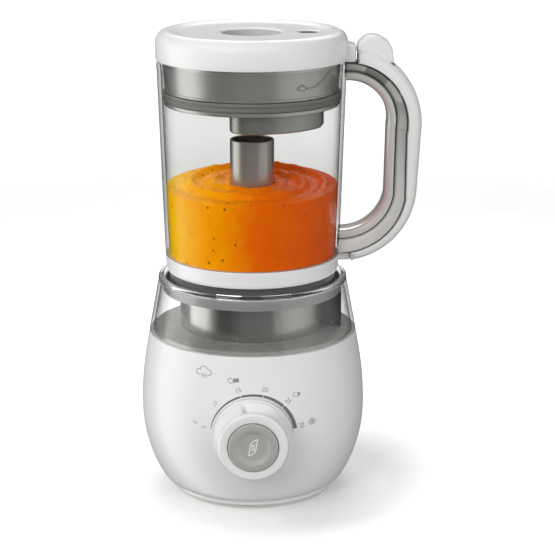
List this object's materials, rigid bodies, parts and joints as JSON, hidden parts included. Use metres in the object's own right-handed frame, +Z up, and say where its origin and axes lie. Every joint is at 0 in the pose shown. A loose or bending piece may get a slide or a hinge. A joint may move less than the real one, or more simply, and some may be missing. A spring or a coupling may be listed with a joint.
{
  "type": "baby food maker",
  "caption": "Baby food maker: clear jar with a loop handle, twist lid and blade unit on a round base with a water tank, boiler, motor and control knob.",
  "frame": {"origin": "on the floor under the centre of the round base", "axes": "+Z up along the axis of the base and the jar, -Y towards the control knob (the front), +X towards the jar's handle"},
  "size_m": [0.1844, 0.1726, 0.3075],
  "materials": {
    "white_plastic": "smooth satin-gloss white moulding",
    "grey_plastic": "satin warm grey moulding",
    "clear_plastic": "polished clear plastic",
    "smoke_plastic": "polished smoky translucent plastic",
    "dark_plastic": "satin dark grey moulding",
    "nylon": "natural nylon, slightly dull",
    "black_rubber": "matt black rubber",
    "silicone": "soft pale silicone",
    "steel": "clean steel",
    "heater_sheath": "dull grey metal sheath",
    "core_steel": "varnished laminated steel",
    "copper": "enamelled copper",
    "carbon": "pressed carbon",
    "bronze": "sintered bronze",
    "circuit_green": "green board with moulded parts"
  },
  "bodies": {
    "base": {"foot_ring": "silicone", "base_plate": "white_plastic", "lower_housing": "white_plastic", "upper_housing": "white_plastic", "housing_screws": "steel", "cord_gland": "white_plastic", "tank_base": "grey_plastic", "tank_shell": "clear_plastic", "jar_seat": "grey_plastic", "seat_ring": "grey_plastic", "feed_valve_box": "dark_plastic", "boiler_cup": "steel", "boiler_lid": "nylon", "boiler_seal": "silicone", "heating_element": "heater_sheath", "thermostat": "steel", "steam_pipe": "nylon", "motor_cradle": "nylon", "motor_grommets": "black_rubber", "motor_lower_bracket": "steel", "motor_upper_bracket": "steel", "stator_core": "core_steel", "field_coils": "copper", "motor_bolts": "steel", "motor_bearings": "steel", "carbon_brushes": "carbon", "shaft_seal": "silicone", "circuit_board": "circuit_green", "timer_body": "nylon", "button_switch": "dark_plastic", "knob_bezel": "white_plastic"},
    "rotor": {"motor_shaft": "steel", "armature": "core_steel", "commutator": "copper", "cooling_fan": "nylon", "drive_coupling": "nylon"},
    "knob": {"control_knob": "white_plastic", "timer_spindle": "steel"},
    "button": {"blend_button": "grey_plastic", "button_spring": "steel"},
    "cap": {"filler_cap": "grey_plastic"},
    "jar": {"jar_wall": "clear_plastic", "jar_base": "white_plastic", "jar_collar": "dark_plastic", "jar_floor": "white_plastic", "jar_bushes": "bronze", "handle_core": "smoke_plastic", "handle_grip": "white_plastic", "handle_liner": "smoke_plastic", "lid_lock_pin": "steel"},
    "blades": {"driven_coupling": "nylon", "blade_shaft": "steel", "blade_tube": "grey_plastic", "blade_ring": "steel"},
    "seal": {"lid_seal": "silicone"},
    "lid": {"lid_cover": "white_plastic", "lid_skirt": "grey_plastic", "steam_chamber": "grey_plastic"},
    "lock": {"lid_lock": "white_plastic", "lock_spring": "steel"}
  },
  "joints": [
    {"name": "knob_turn", "type": "hinge", "parent": "base", "child": "knob", "pos_m": [0, -0.094, 0.058], "axis": [0, -1, 0], "range_deg": [-97, 65]},
    {"name": "button_press", "type": "slide", "parent": "base", "child": "button", "axis": [0, 1, 0], "range_m": [0, 0.003], "stiffness_N_per_m": 1200, "springref_m": -0.001, "deforming": ["button_spring"]},
    {"name": "motor_spin", "type": "hinge", "parent": "base", "child": "rotor", "pos_m": [0, 0, 0.05], "axis": [0, 0, 1], "continuous": true},
    {"name": "cap_turn", "type": "hinge", "parent": "base", "child": "cap", "pos_m": [0, 0.039, 0.1385], "axis": [0, 0, 1], "range_deg": [0, 90]},
    {"name": "jar_lift", "type": "slide", "parent": "base", "child": "jar", "axis": [0, 0, 1], "range_m": [0, 0.08]},
    {"name": "blade_spin", "type": "hinge", "parent": "jar", "child": "blades", "pos_m": [0, 0, 0.165], "axis": [0, 0, 1], "continuous": true},
    {"name": "lid_lift", "type": "slide", "parent": "jar", "child": "seal", "axis": [0, 0, 1], "range_m": [0, 0.07]},
    {"name": "lid_turn", "type": "hinge", "parent": "seal", "child": "lid", "pos_m": [0, 0, 0.29], "axis": [0, 0, 1], "range_deg": [0, 40]},
    {"name": "lock_press", "type": "hinge", "parent": "jar", "child": "lock", "pos_m": [0.079, 0, 0.2894], "axis": [0, 1, 0], "range_deg": [0, 5], "stiffness_Nm_per_rad": 0.4, "springref_deg": -2.86, "deforming": ["lock_spring"]}
  ],
  "couplings": [
    {"joint": "blade_spin", "follows": "motor_spin", "ratio": 1}
  ]
}
